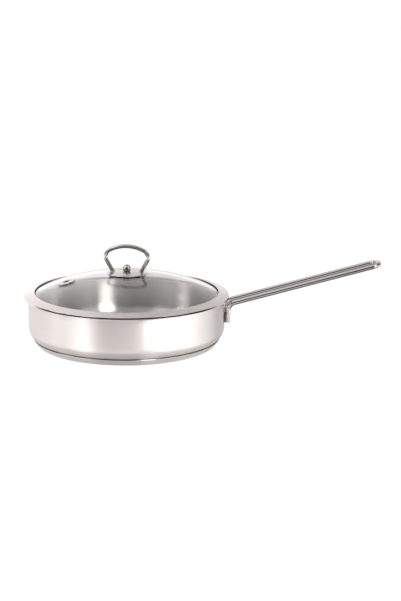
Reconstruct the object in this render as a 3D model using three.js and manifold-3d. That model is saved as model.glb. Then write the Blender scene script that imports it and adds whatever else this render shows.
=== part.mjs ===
// A straight-sided frying pan in stainless steel with a domed glass lid.
// Millimetres, +Z up. The origin is the centre of the underside of the base, +X runs along the handle.

import * as THREE from 'three';
import { mergeVertices } from 'three/addons/utils/BufferGeometryUtils.js';
import Module from 'manifold-3d';

// Pan
const PAN_INNER_RADIUS = 120;
const PAN_HEIGHT = 61.3;
const PAN_SHEET = 1.0;
const CORNER_RADIUS = 17;
const RIM_FLARE_RADIUS = 3;
const RIM_FLARE_ANGLE = 70;

// Base: an aluminium disc shut in under the pan by a pressed steel cap
const CORE_REACH = 2.2;
const CORE_THICKNESS = 4.4;
const CORE_EDGE_CLEARANCE = 0.8;
const CAP_SHEET = 0.6;
const CAP_EDGE_RADIUS = 6;
const CAP_LIP_RISE = 4.1;
const CAP_LIP_GAP = 0.7;

// Handle: one round rod bent to a hairpin, welded to the wall by its two feet
const ROD_DIAMETER = 6;
const HANDLE_LENGTH = 193.5;
const HANDLE_SPACING = 23;
const HANDLE_RISE = 14.9;
const HANDLE_KNEE_DROP = 10.8;
const HANDLE_LEG_LENGTH = 23;
const HANDLE_LEG_LEAN = 5;
const HANDLE_BEND_RADIUS = 10;
const HANDLE_WELD_GAP = 0.3;

// Lid band: a rolled steel ring that lies on the rim and reaches into the pan with a skirt
const BAND_SHEET = 1.0;
const BAND_SLOPE = 15;
const BAND_OVERHANG = 3.5;
const BAND_LIP_INNER_RADIUS = 0.5;
const BAND_LIP_LEAN = 16;
const BAND_LIP_LENGTH = 1.4;
const BAND_REST_GAP = 0.3;
const BAND_FIT_CLEARANCE = 1.2;
const BAND_GRIP = 3.2;
const BAND_LOWER_GRIP = 3.3;

// Lid seal: a silicone channel between the band and the edge of the glass
const SEAL_WALL = 1.0;
const SEAL_UPPER_LEG = 0.5;
const SEAL_LOWER_LEG = 0.8;
const SEAL_LIP = 0.4;
const SEAL_GAP = 0.15;

// Lid glass
const GLASS_THICKNESS = 4;
const GLASS_RISE = 25.26;
const GLASS_FLAT_EDGE = 1.5;

// Steam vent: a steel eyelet through the glass
const VENT_INSET = 41;
const VENT_ANGLE = 187;
const VENT_BORE = 8;
const VENT_WALL = 1.0;
const VENT_FLANGE = 6.5;
const VENT_FLANGE_THICKNESS = 0.7;
const VENT_SEAT_GAP = 0.5;
const VENT_HOLE_CLEARANCE = 0.3;

// Knob: a wire loop welded to a round plate, which a ball-headed screw holds to the glass
const LOOP_WIRE = 5;
const LOOP_FOOT_SPACING = 35.4;
const LOOP_SHOULDER_SPACING = 60.4;
const LOOP_SHOULDER_HEIGHT = 21.6;
const LOOP_SHOULDER_RADIUS = 9.5;
const LOOP_CROWN_SLOPE = 26.3;
const LOOP_CROWN_STRAIGHT = 0.5;
const LOOP_TURN = -10;
const LOOP_WELD_GAP = 0.2;
const PLATE_MARGIN = 4.85;
const PLATE_THICKNESS = 1.2;
const PLATE_CROWN = 1.3;
const BALL_SEAT_WIDTH = 0.45;
const BALL_LIFT = 3.4;
const SCREW_DIAMETER = 6;
const SCREW_CLEARANCE = 0.25;
const THREAD_CLEARANCE = 0.15;
const SCREW_END_CLEARANCE = 0.5;

// What lies between the knob, the glass and the nut under it
const GASKET_THICKNESS = 0.6;
const GASKET_INSET = 2.3;
const GASKET_GAP = 0.1;
const SLEEVE_WALL = 1.0;
const SLEEVE_CLEARANCE = 0.25;
const UNDER_GASKET_WIDTH = 6.75;
const UNDER_GASKET_THICKNESS = 1.2;
const UNDER_SEAT_GAP = 0.3;
const UNDER_WASHER_WIDTH = 5.75;
const UNDER_WASHER_THICKNESS = 1.2;
const SPRING_WASHER_WIDTH = 2;
const SPRING_WASHER_THICKNESS = 1.4;
const SPRING_WASHER_SLIT = 15;
const NUT_WALL = 2;
const NUT_HEIGHT = 5.5;
const NUT_DOME_INSET = 0.4;
const NUT_BORE_PAST = 1.5;

// Facets
const RING_SIDES = 48;
const KNOB_SIDES = 32;
const SMALL_SIDES = 24;
const ROD_SIDES = 12;
const DOME_STEPS = 10;
const CORNER_STEPS = 6;
const EDGE_STEPS = 4;
const LIP_STEPS = 3;
const HANDLE_BEND_STEPS = 8;
const LOOP_BEND_STEPS = 6;
const BALL_STEPS = 7;
const PLATE_STEPS = 4;
const MERGE_DISTANCE = 1e-4;

// Sizes that follow from those above
const rad = THREE.MathUtils.degToRad;
const panOuterRadius = PAN_INNER_RADIUS + PAN_SHEET;
const panUnderside = CAP_SHEET + CORE_THICKNESS;
const cornerCentre = { r: panOuterRadius - CORNER_RADIUS, z: panUnderside + CORNER_RADIUS };
const coreRadius = cornerCentre.r + CORE_REACH;
const capLipHeight = panUnderside + CAP_LIP_RISE;
const flareReach = RIM_FLARE_RADIUS + PAN_SHEET;
const flareStart = PAN_HEIGHT - flareReach * Math.sin(rad(RIM_FLARE_ANGLE));
const flareCentre = panOuterRadius + RIM_FLARE_RADIUS;
const rimCrest = flareCentre - flareReach * Math.cos(rad(RIM_FLARE_ANGLE));
const rimRadius = flareCentre - RIM_FLARE_RADIUS * Math.cos(rad(RIM_FLARE_ANGLE));

const skirtOuter = PAN_INNER_RADIUS - BAND_FIT_CLEARANCE;
const skirtInner = skirtOuter - BAND_SHEET;
const sealOuter = skirtInner - SEAL_GAP;
const glassEdge = sealOuter - SEAL_WALL - SEAL_GAP;
const bandInner = glassEdge - BAND_GRIP;
const bandLowerInner = glassEdge - BAND_LOWER_GRIP;
const bandOuter = rimRadius + BAND_OVERHANG;
const bandLipRadius = BAND_LIP_INNER_RADIUS + BAND_SHEET;
const bandDepth = BAND_SHEET / Math.cos(rad(BAND_SLOPE));

// Height of the underside and the top of the sloping band at a radius
function bandUnder(r) {
  return PAN_HEIGHT + BAND_REST_GAP - (r - rimCrest) * Math.tan(rad(BAND_SLOPE));
}
function bandTop(r) {
  return bandUnder(r) + bandDepth;
}

const glassTop = bandUnder(glassEdge) - SEAL_UPPER_LEG - 2 * SEAL_GAP;
const glassBottom = glassTop - GLASS_THICKNESS;
const channelFloor = glassBottom - SEAL_LOWER_LEG - 2 * SEAL_GAP;
const skirtFoot = channelFloor - BAND_SHEET;

const domeFoot = glassEdge - GLASS_FLAT_EDGE;
const domeRadius = (domeFoot ** 2 + GLASS_RISE ** 2) / (2 * GLASS_RISE);
const domeCentre = glassTop + GLASS_RISE - domeRadius;
const domeInnerRadius = domeRadius - GLASS_THICKNESS;

// Height of the outer and the inner face of the dome at a radius
function domeOuter(r) {
  return domeCentre + Math.sqrt(domeRadius ** 2 - r ** 2);
}
function domeInner(r) {
  return domeCentre + Math.sqrt(domeInnerRadius ** 2 - r ** 2);
}
const ventOffset = domeFoot - VENT_INSET;
const ventTube = VENT_BORE / 2 + VENT_WALL;

const screwRadius = SCREW_DIAMETER / 2;
const screwBore = screwRadius + SCREW_CLEARANCE;
const sleeveRadius = screwBore + SLEEVE_WALL;
const glassHole = sleeveRadius + SLEEVE_CLEARANCE;
const ballSeat = screwBore + BALL_SEAT_WIDTH;
const ballRadius = Math.hypot(ballSeat, BALL_LIFT);
const underGasketRadius = screwBore + UNDER_GASKET_WIDTH;
const underWasherRadius = screwBore + UNDER_WASHER_WIDTH;
const plateRadius = (LOOP_FOOT_SPACING + LOOP_WIRE) / 2 + PLATE_MARGIN;
const plateUnderside = domeOuter(0) + GASKET_THICKNESS + 2 * GASKET_GAP;
const plateTop = plateUnderside + PLATE_THICKNESS;
const gasketRadius = plateRadius - GASKET_INSET;

// How far the plate has fallen from its centre at a radius
function plateFall(r) {
  return PLATE_CROWN * (r / plateRadius) ** 2;
}

// Geometry helpers

// Points on an arc about (r, z), angles in degrees from the outward direction
function arc(r, z, radius, from, to, steps) {
  return Array.from({ length: steps + 1 }, (_, i) => {
    const angle = rad(from + ((to - from) * i) / steps);
    return [r + radius * Math.cos(angle), z + radius * Math.sin(angle)];
  });
}

// Evenly spaced radii between two values
function spread(from, to, steps) {
  return Array.from({ length: steps + 1 }, (_, i) => from + ((to - from) * i) / steps);
}

// A solid of revolution about Z, its profile starting and ending on the axis
function turned(points, sides) {
  const profile = points.map(([r, z]) => new THREE.Vector2(r, z));
  return new THREE.LatheGeometry(profile, sides).rotateX(Math.PI / 2);
}

// A ring about Z whose profile closes on itself
function ring(points, sides) {
  return turned([...points, points[0]], sides);
}

// A plain cylinder along Z
function cylinder(radius, bottom, top, sides) {
  const geometry = new THREE.CylinderGeometry(radius, radius, top - bottom, sides);
  return geometry.rotateX(Math.PI / 2).translate(0, 0, (top + bottom) / 2);
}

// A path through given stations, each with its own direction
class StationPath extends THREE.Curve {
  constructor(stations) {
    super();
    this.stations = stations;
  }
  station(t) {
    return this.stations[Math.round(t * (this.stations.length - 1))];
  }
  getPointAt(t) {
    return this.station(t).point.clone();
  }
  getTangentAt(t) {
    return this.station(t).direction.clone();
  }
}

// A round rod along straight runs, with a bend of its own radius at each corner between them
function bentRod(corners, diameter, bendSteps) {
  const last = corners.length - 1;
  const stations = [];
  corners.forEach(({ at, bend }, i) => {
    const before = i > 0 ? at.clone().sub(corners[i - 1].at).normalize() : null;
    const after = i < last ? corners[i + 1].at.clone().sub(at).normalize() : null;
    if (!before || !after) {
      stations.push({ point: at.clone(), direction: before ?? after });
      return;
    }
    const turn = before.angleTo(after);
    const axis = before.clone().cross(after).normalize();
    const start = at.clone().addScaledVector(before, -bend * Math.tan(turn / 2));
    const inward = axis.clone().cross(before);
    const centre = start.clone().addScaledVector(inward, bend);
    for (let step = 0; step <= bendSteps; step += 1) {
      const angle = (turn * step) / bendSteps;
      const spoke = start.clone().sub(centre).applyAxisAngle(axis, angle);
      const direction = before.clone().applyAxisAngle(axis, angle);
      stations.push({ point: centre.clone().add(spoke), direction });
    }
  });
  const section = new THREE.Shape(
    arc(0, 0, diameter / 2, 0, 360 - 360 / ROD_SIDES, ROD_SIDES - 1).map(([x, y]) => new THREE.Vector2(x, y)),
  );
  const path = new StationPath(stations);
  return new THREE.ExtrudeGeometry(section, { extrudePath: path, steps: stations.length - 1 });
}

const wasm = await Module();
wasm.setup();

// A closed mesh as a solid that can be joined and cut
function toSolid(geometry) {
  const bare = geometry.clone();
  bare.deleteAttribute('normal');
  bare.deleteAttribute('uv');
  const merged = mergeVertices(bare, MERGE_DISTANCE);
  return new wasm.Manifold(new wasm.Mesh({
    numProp: 3,
    vertProperties: new Float32Array(merged.attributes.position.array),
    triVerts: new Uint32Array(merged.index.array),
  }));
}

// The mesh of a joined or cut solid
function toGeometry(solid) {
  const mesh = solid.getMesh();
  const geometry = new THREE.BufferGeometry();
  geometry.setAttribute('position', new THREE.BufferAttribute(new Float32Array(mesh.vertProperties), 3));
  geometry.setIndex(new THREE.BufferAttribute(new Uint32Array(mesh.triVerts), 1));
  geometry.computeVertexNormals();
  return geometry;
}

// Materials

function finish(color, roughness, metalness) {
  return new THREE.MeshStandardMaterial({ color, roughness, metalness });
}
const polishedSteel = () => finish(0xc7c1bd, 0.15, 1);
const satinSteel = () => finish(0xc1bab6, 0.35, 1);
const aluminium = () => finish(0xb9bbbd, 0.5, 1);
const silicone = () => finish(0x2c2b2a, 0.6, 0);
const clearGlass = () => new THREE.MeshStandardMaterial({
  color: 0xe4eae8, roughness: 0.03, metalness: 0, transparent: true, opacity: 0.3,
});

// A named piece of the assembly
function piece(name, geometry, material) {
  const mesh = new THREE.Mesh(geometry, material);
  mesh.name = name;
  return mesh;
}

// Pan body: one drawn sheet with a flat floor, a rounded corner, a straight wall and a flared rim
function panBody() {
  const inner = CORNER_RADIUS - PAN_SHEET;
  const flareEnd = 180 - RIM_FLARE_ANGLE;
  return turned([
    [0, panUnderside],
    ...arc(cornerCentre.r, cornerCentre.z, CORNER_RADIUS, -90, 0, CORNER_STEPS),
    ...arc(flareCentre, flareStart, RIM_FLARE_RADIUS, 180, flareEnd, EDGE_STEPS),
    ...arc(flareCentre, flareStart, flareReach, flareEnd, 180, EDGE_STEPS),
    ...arc(cornerCentre.r, cornerCentre.z, inner, 0, -90, CORNER_STEPS),
    [0, panUnderside + PAN_SHEET],
  ], RING_SIDES);
}

// Base core: the aluminium disc that spreads the heat
function baseCore() {
  return turned([
    [0, CAP_SHEET],
    [coreRadius, CAP_SHEET],
    [coreRadius, panUnderside],
    [0, panUnderside],
  ], RING_SIDES);
}

// Base cap: a shallow dish round the core, its lip lying against the pan's rounded corner
function baseCap() {
  const flat = coreRadius + CORE_EDGE_CLEARANCE;
  const lipSine = (cornerCentre.z - capLipHeight) / CORNER_RADIUS;
  const lipAngle = -THREE.MathUtils.radToDeg(Math.asin(lipSine));
  const [lipInner] = arc(cornerCentre.r, cornerCentre.z, CORNER_RADIUS + CAP_LIP_GAP, lipAngle, lipAngle, 1);
  const lipReach = CORNER_RADIUS + CAP_LIP_GAP + CAP_SHEET;
  const [lipOuter] = arc(cornerCentre.r, cornerCentre.z, lipReach, lipAngle, lipAngle, 1);
  // The angle at which a straight side from the lip touches the rounded edge
  const touch = ([r, z], radius) => {
    const away = Math.hypot(r - flat, z - CAP_EDGE_RADIUS);
    const toLip = Math.atan2(z - CAP_EDGE_RADIUS, r - flat);
    return THREE.MathUtils.radToDeg(toLip - Math.acos(radius / away));
  };
  const innerRadius = CAP_EDGE_RADIUS - CAP_SHEET;
  return turned([
    [0, 0],
    ...arc(flat, CAP_EDGE_RADIUS, CAP_EDGE_RADIUS, -90, touch(lipOuter, CAP_EDGE_RADIUS), EDGE_STEPS),
    lipOuter,
    lipInner,
    ...arc(flat, CAP_EDGE_RADIUS, innerRadius, touch(lipInner, innerRadius), -90, EDGE_STEPS),
    [0, CAP_SHEET],
  ], RING_SIDES);
}

// Handle rod: up from one foot, out along the handle, round its end and back to the other foot
function handleRod() {
  const side = HANDLE_SPACING / 2;
  const footReach = panOuterRadius + HANDLE_WELD_GAP + ROD_DIAMETER / 2;
  const footX = Math.sqrt(footReach ** 2 - side ** 2);
  const lean = rad(HANDLE_LEG_LEAN);
  const kneeX = footX + HANDLE_LEG_LENGTH * Math.sin(lean);
  const kneeZ = PAN_HEIGHT - HANDLE_KNEE_DROP;
  const footZ = kneeZ - HANDLE_LEG_LENGTH * Math.cos(lean);
  const tipX = panOuterRadius + HANDLE_LENGTH - ROD_DIAMETER / 2;
  const tipZ = kneeZ + (tipX - kneeX) * Math.tan(rad(HANDLE_RISE));
  const half = (y) => [
    { at: new THREE.Vector3(footX, y, footZ) },
    { at: new THREE.Vector3(kneeX, y, kneeZ), bend: HANDLE_BEND_RADIUS },
    { at: new THREE.Vector3(tipX, y, tipZ), bend: side },
  ];
  return bentRod([...half(-side), ...half(side).reverse()], ROD_DIAMETER, HANDLE_BEND_STEPS);
}

// Lid band: sloping top with a rolled lip, a skirt inside the pan and a lower grip under the glass
function lidBand() {
  const lean = rad(BAND_LIP_LEAN);
  const lipR = bandOuter - BAND_LIP_LENGTH * Math.sin(lean) - bandLipRadius * Math.cos(lean);
  const slopeNormal = 90 - BAND_SLOPE;
  const tangentR = lipR + bandLipRadius * Math.cos(rad(slopeNormal));
  const lipZ = bandTop(tangentR) - bandLipRadius * Math.sin(rad(slopeNormal));
  const lipFoot = lipZ + bandLipRadius * Math.sin(lean) - BAND_LIP_LENGTH * Math.cos(lean);
  return ring([
    [skirtOuter, skirtFoot],
    [skirtOuter, bandUnder(skirtOuter)],
    ...arc(lipR, lipZ, BAND_LIP_INNER_RADIUS, slopeNormal, BAND_LIP_LEAN, LIP_STEPS),
    [bandOuter - BAND_SHEET * Math.cos(lean), lipFoot - BAND_SHEET * Math.sin(lean)],
    [bandOuter, lipFoot],
    ...arc(lipR, lipZ, bandLipRadius, BAND_LIP_LEAN, slopeNormal, LIP_STEPS),
    [bandInner, bandTop(bandInner)],
    [bandInner, bandUnder(bandInner)],
    [skirtInner, bandUnder(skirtInner)],
    [skirtInner, channelFloor],
    [bandLowerInner, channelFloor],
    [bandLowerInner, skirtFoot],
  ], RING_SIDES);
}

// Lid seal: fills the band's channel round the edge of the glass, with a lip that shows inside the band
function lidSeal() {
  const lip = bandInner - SEAL_LIP;
  const wall = sealOuter - SEAL_WALL;
  const bend = Math.max(lip, domeFoot);
  const lipOnGlass = lip < domeFoot ? domeOuter(lip) : glassTop;
  return ring([
    [sealOuter, channelFloor + SEAL_GAP],
    [sealOuter, bandUnder(sealOuter) - SEAL_GAP],
    [lip, bandUnder(lip) - SEAL_GAP],
    [lip, lipOnGlass + SEAL_GAP],
    [bend, glassTop + SEAL_GAP],
    [wall, glassTop + SEAL_GAP],
    [wall, glassBottom - SEAL_GAP],
    [bandLowerInner, glassBottom - SEAL_GAP],
    [bandLowerInner, channelFloor + SEAL_GAP],
  ], RING_SIDES);
}

// The vent stands square to the dome, so its frame has its own Z along the dome's normal there
function ventFrame() {
  const angle = rad(VENT_ANGLE);
  const seat = new THREE.Vector3(
    ventOffset * Math.cos(angle),
    ventOffset * Math.sin(angle),
    domeOuter(ventOffset),
  );
  const normal = seat.clone().sub(new THREE.Vector3(0, 0, domeCentre)).normalize();
  const turn = new THREE.Quaternion().setFromUnitVectors(new THREE.Vector3(0, 0, 1), normal);
  return { seat, turn };
}

// Lid glass: a tempered dome with a flat edge, a centre hole for the knob and a hole for the vent
function lidGlass() {
  const outerAngle = (r) => THREE.MathUtils.radToDeg(Math.acos(r / domeRadius));
  const innerAngle = (r) => THREE.MathUtils.radToDeg(Math.acos(r / domeInnerRadius));
  const innerFoot = Math.sqrt(domeInnerRadius ** 2 - (glassBottom - domeCentre) ** 2);
  const dome = ring([
    [glassEdge, glassBottom],
    [glassEdge, glassTop],
    ...arc(0, domeCentre, domeRadius, outerAngle(domeFoot), outerAngle(glassHole), DOME_STEPS),
    ...arc(0, domeCentre, domeInnerRadius, innerAngle(glassHole), innerAngle(innerFoot), DOME_STEPS),
  ], RING_SIDES);
  const { seat, turn } = ventFrame();
  const past = GLASS_THICKNESS;
  const hole = cylinder(ventTube + VENT_HOLE_CLEARANCE, -GLASS_THICKNESS - past, past, SMALL_SIDES);
  hole.applyQuaternion(turn).translate(seat.x, seat.y, seat.z);
  return toGeometry(toSolid(dome).subtract(toSolid(hole)));
}

// Vent eyelet: a short tube with a flange on each face of the glass
function ventEyelet() {
  const bore = VENT_BORE / 2;
  const flange = ventTube + VENT_FLANGE;
  const low = -GLASS_THICKNESS - VENT_SEAT_GAP;
  return ring([
    [bore, low - VENT_FLANGE_THICKNESS],
    [flange, low - VENT_FLANGE_THICKNESS],
    [flange, low],
    [ventTube, low],
    [ventTube, VENT_SEAT_GAP],
    [flange, VENT_SEAT_GAP],
    [flange, VENT_SEAT_GAP + VENT_FLANGE_THICKNESS],
    [bore, VENT_SEAT_GAP + VENT_FLANGE_THICKNESS],
  ], SMALL_SIDES);
}

// Knob plate: a round, slightly crowned disc with a hole for the screw
function knobPlate() {
  const under = spread(screwBore, plateRadius, PLATE_STEPS).map((r) => [r, plateUnderside - plateFall(r)]);
  const over = spread(plateRadius, screwBore, PLATE_STEPS).map((r) => [r, plateTop - plateFall(r)]);
  return ring([...under, ...over], KNOB_SIDES);
}

// Knob loop: two leaning legs, tight shoulders and a flat arch, with feet cut to stand on the plate
function knobLoop() {
  const foot = LOOP_FOOT_SPACING / 2;
  const shoulder = LOOP_SHOULDER_SPACING / 2;
  const shoulderZ = plateTop + LOOP_SHOULDER_HEIGHT;
  const slope = rad(LOOP_CROWN_SLOPE);
  const crownZ = shoulderZ + shoulder * Math.tan(slope);
  const legLean = Math.atan2(shoulder - foot, LOOP_SHOULDER_HEIGHT);
  const shoulderTurn = Math.PI / 2 - slope + legLean;
  const shoulderRun = LOOP_SHOULDER_RADIUS * Math.tan(shoulderTurn / 2);
  const crownRun = shoulder / Math.cos(slope) - shoulderRun - LOOP_CROWN_STRAIGHT;
  const below = LOOP_WIRE;
  const footLean = below * Math.tan(legLean);
  const half = (side) => [
    { at: new THREE.Vector3(side * (foot - footLean), 0, plateTop - below) },
    { at: new THREE.Vector3(side * shoulder, 0, shoulderZ), bend: LOOP_SHOULDER_RADIUS },
  ];
  const crown = { at: new THREE.Vector3(0, 0, crownZ), bend: crownRun / Math.tan(slope) };
  const wire = bentRod([...half(-1), crown, ...half(1).reverse()], LOOP_WIRE, LOOP_BEND_STEPS);
  const footTop = plateTop - plateFall(foot - LOOP_WIRE) + LOOP_WELD_GAP;
  const plateSpace = cylinder(plateRadius, plateTop - 2 * below, footTop, KNOB_SIDES);
  return toGeometry(toSolid(wire).subtract(toSolid(plateSpace)));
}

// Knob gasket: silicone between plate and glass, with a sleeve that lines the hole in the glass
function knobGasket() {
  const radii = spread(sleeveRadius, gasketRadius, PLATE_STEPS);
  return ring([
    [screwBore, domeInner(0) + GASKET_GAP],
    [sleeveRadius, domeInner(0) + GASKET_GAP],
    ...radii.map((r) => [r, domeOuter(r) + GASKET_GAP]),
    ...radii.reverse().map((r) => [r, plateUnderside - plateFall(r) - GASKET_GAP]),
    [screwBore, plateUnderside - plateFall(sleeveRadius) - GASKET_GAP],
  ], KNOB_SIDES);
}

// Levels of the pieces stacked under the glass, from the top down
const underGasketTop = domeInner(underGasketRadius) - UNDER_SEAT_GAP;
const underWasherTop = underGasketTop - UNDER_GASKET_THICKNESS;
const springWasherTop = underWasherTop - UNDER_WASHER_THICKNESS;
const nutTop = springWasherTop - SPRING_WASHER_THICKNESS;
const nutShoulder = nutTop - NUT_HEIGHT;
const nutFlat = screwRadius + NUT_WALL;
const nutDomeRadius = nutFlat - NUT_DOME_INSET;
const nutBoreEnd = nutShoulder - NUT_BORE_PAST;

// A flat washer on the screw
function washer(radius, top, thickness) {
  return ring([
    [screwBore, top - thickness],
    [radius, top - thickness],
    [radius, top],
    [screwBore, top],
  ], SMALL_SIDES);
}

// Under gasket: a silicone washer against the inside of the glass
function underGasket() {
  return washer(underGasketRadius, underGasketTop, UNDER_GASKET_THICKNESS);
}

// Under washer: the steel washer that spreads the nut's load
function underWasher() {
  return washer(underWasherRadius, underWasherTop, UNDER_WASHER_THICKNESS);
}

// Spring washer: a flat ring with a slit
function springWasher() {
  const outer = screwBore + SPRING_WASHER_WIDTH;
  const from = SPRING_WASHER_SLIT / 2;
  const to = 360 - from;
  const outline = [
    ...arc(0, 0, outer, from, to, SMALL_SIDES),
    ...arc(0, 0, screwBore, to, from, SMALL_SIDES),
  ];
  const shape = new THREE.Shape(outline.map(([x, y]) => new THREE.Vector2(x, y)));
  const geometry = new THREE.ExtrudeGeometry(shape, { depth: SPRING_WASHER_THICKNESS, bevelEnabled: false });
  return geometry.translate(0, 0, springWasherTop - SPRING_WASHER_THICKNESS);
}

// Dome nut: a hexagon closed by a dome, with a blind bore for the screw
function underNut() {
  const hexagon = cylinder(nutFlat / Math.cos(Math.PI / 6), nutShoulder, nutTop, 6);
  const dome = new THREE.SphereGeometry(nutDomeRadius, SMALL_SIDES, SMALL_SIDES / 2);
  dome.translate(0, 0, nutShoulder);
  const bore = cylinder(screwRadius + THREAD_CLEARANCE, nutBoreEnd, nutTop + NUT_HEIGHT, SMALL_SIDES);
  return toGeometry(toSolid(hexagon).add(toSolid(dome)).subtract(toSolid(bore)));
}

// Knob screw: a ball head seated on the plate and a plain shank down into the nut
function knobScrew() {
  const ballZ = plateTop + BALL_LIFT;
  const seatAngle = -THREE.MathUtils.radToDeg(Math.atan2(BALL_LIFT, ballSeat));
  const end = nutBoreEnd + SCREW_END_CLEARANCE;
  return turned([
    [0, end],
    [screwRadius, end],
    [screwRadius, plateTop],
    ...arc(0, ballZ, ballRadius, seatAngle, 90, BALL_STEPS),
  ], SMALL_SIDES);
}

// The assembly

const pan = new THREE.Group();
pan.add(
  piece('pan_body', panBody(), satinSteel()),
  piece('base_core', baseCore(), aluminium()),
  piece('base_cap', baseCap(), satinSteel()),
  piece('handle_rod', handleRod(), polishedSteel()),
);

const knob = new THREE.Group();
knob.rotation.z = rad(LOOP_TURN);
knob.add(piece('knob_loop', knobLoop(), polishedSteel()));

const vent = new THREE.Group();
const { seat, turn } = ventFrame();
vent.position.copy(seat);
vent.quaternion.copy(turn);
vent.add(piece('vent_eyelet', ventEyelet(), polishedSteel()));

const lid = new THREE.Group();
lid.add(
  piece('lid_band', lidBand(), satinSteel()),
  piece('lid_seal', lidSeal(), silicone()),
  piece('lid_glass', lidGlass(), clearGlass()),
  vent,
  knob,
  piece('knob_plate', knobPlate(), satinSteel()),
  piece('knob_screw', knobScrew(), polishedSteel()),
  piece('knob_gasket', knobGasket(), silicone()),
  piece('under_gasket', underGasket(), silicone()),
  piece('under_washer', underWasher(), polishedSteel()),
  piece('spring_washer', springWasher(), polishedSteel()),
  piece('under_nut', underNut(), polishedSteel()),
);

const fryingPan = new THREE.Group();
fryingPan.add(pan, lid);

export default fryingPan;
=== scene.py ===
import math

import bpy
from mathutils import Matrix, Quaternion, Vector


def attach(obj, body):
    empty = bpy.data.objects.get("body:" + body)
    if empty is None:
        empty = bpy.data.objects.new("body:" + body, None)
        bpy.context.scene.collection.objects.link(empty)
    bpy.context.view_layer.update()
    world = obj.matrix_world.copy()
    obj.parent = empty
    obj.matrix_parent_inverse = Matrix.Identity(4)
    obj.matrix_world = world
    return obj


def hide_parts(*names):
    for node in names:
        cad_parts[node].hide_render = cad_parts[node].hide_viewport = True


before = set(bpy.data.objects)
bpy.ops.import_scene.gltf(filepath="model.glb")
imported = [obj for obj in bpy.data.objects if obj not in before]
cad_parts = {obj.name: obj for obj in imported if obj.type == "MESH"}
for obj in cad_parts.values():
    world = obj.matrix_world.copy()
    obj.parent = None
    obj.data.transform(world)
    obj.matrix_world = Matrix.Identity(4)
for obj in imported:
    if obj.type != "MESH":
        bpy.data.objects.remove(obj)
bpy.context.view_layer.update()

scene = bpy.context.scene
scene.view_settings.view_transform = "Standard"


# Camera: a long lens a little above the lid, in front of the pan, with the handle to its right.
# Its place and lens were fitted to the ellipses of the rim, the glass and the base.
MM = 0.001
CAMERA_AT = Vector((24.5, -1630.1, 445.3)) * MM
CAMERA_AIM = Vector((91.1, -0.7, 52.5)) * MM
CAMERA_LENS = 81.06
CAMERA_SENSOR = 36
CAMERA_ROLL = -0.55
CAMERA_REACH = 50

view = (CAMERA_AIM - CAMERA_AT).normalized()
level_right = view.cross(Vector((0, 0, 1))).normalized()
level_up = level_right.cross(view)
roll = math.radians(CAMERA_ROLL)
camera_up = level_up * math.cos(roll) + level_right * math.sin(roll)
camera_right = view.cross(camera_up)
camera_data = bpy.data.cameras.new("camera")
camera_data.lens = CAMERA_LENS
camera_data.sensor_width = CAMERA_SENSOR
camera_data.clip_end = CAMERA_REACH
camera = bpy.data.objects.new("camera", camera_data)
camera.matrix_world = Matrix.Translation(CAMERA_AT) @ Matrix(
    (camera_right, camera_up, -view)
).transposed().to_4x4()
scene.collection.objects.link(camera)
scene.camera = camera


# Studio: a white floor, a white sweep behind the pan, a darker room in front, strips and softboxes.
# Bright steel shows nothing but this room, so its lights make the upright bands on the pan's wall.
# The room is a pattern by direction, which mirrors and glass see; all else is lit evenly by it.
def linear(colour):
    """The linear colour of an sRGB hex value."""
    shares = [int(colour[i:i + 2], 16) / 255 for i in (1, 3, 5)]
    return [s / 12.92 if s <= 0.04045 else ((s + 0.055) / 1.055) ** 2.4 for s in shares] + [1]


def sine(degrees):
    """The sine of an angle in degrees."""
    return math.sin(math.radians(degrees))


def add_node(tree, kind, settings, links):
    """One shader node, its properties and sockets set and its sockets linked from other nodes."""
    node = tree.nodes.new(kind)
    for key, value in settings.items():
        if isinstance(key, str) and hasattr(node, key):
            setattr(node, key, value)
        else:
            node.inputs[key].default_value = value
    for key, source in links.items():
        tree.links.new(source, node.inputs[key])
    return node


def new_material(name, **sockets):
    """A material whose one shader has these uniform values on its own sockets."""
    material = bpy.data.materials.new(name)
    material.use_nodes = True
    shader = material.node_tree.nodes["Principled BSDF"]
    for key, value in sockets.items():
        shader.inputs[key.replace("_", " ")].default_value = value
    return material, material.node_tree, shader


def eased(tree, source, start, full, low=0.0, high=1.0, kind="SMOOTHSTEP"):
    """A value that goes from low to high while its source goes from start to full."""
    return add_node(tree, "ShaderNodeMapRange", {
        "interpolation_type": kind, "From Min": start, "From Max": full, "To Min": low, "To Max": high},
        {"Value": source}).outputs[0]


def ranged(tree, source, start, full, low=0.0, high=1.0):
    """The same in a straight line."""
    return eased(tree, source, start, full, low, high, "LINEAR")


ROOM_LIGHT = 0.6
ROOM_TINT = "#FFFCFB"
world = bpy.data.worlds.new("white_room")
scene.world = world
world.use_nodes = True
room = world.node_tree
room_way = add_node(room, "ShaderNodeTexCoord", {}, {}).outputs["Generated"]
room_axes = add_node(room, "ShaderNodeSeparateXYZ", {}, {0: room_way})
room_rise = room_axes.outputs["Z"]

# A ramp keeps each brightness as a share of this
RAMP_TOP = 4.0


def brightness_ramp(source, stops):
    """Brightness along a value from 0 to 1, through stops of (value, brightness)."""
    ramp = add_node(room, "ShaderNodeValToRGB", {}, {"Fac": source})
    elements = ramp.color_ramp.elements
    while len(elements) < len(stops):
        elements.new(1.0)
    for element, (place, bright) in zip(elements, stops):
        element.position = place
        element.color = (bright / RAMP_TOP,) * 3 + (1,)
    return add_node(room, "ShaderNodeMath", {"operation": "MULTIPLY", 1: RAMP_TOP},
                    {0: ramp.outputs["Color"]}).outputs[0]


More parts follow.
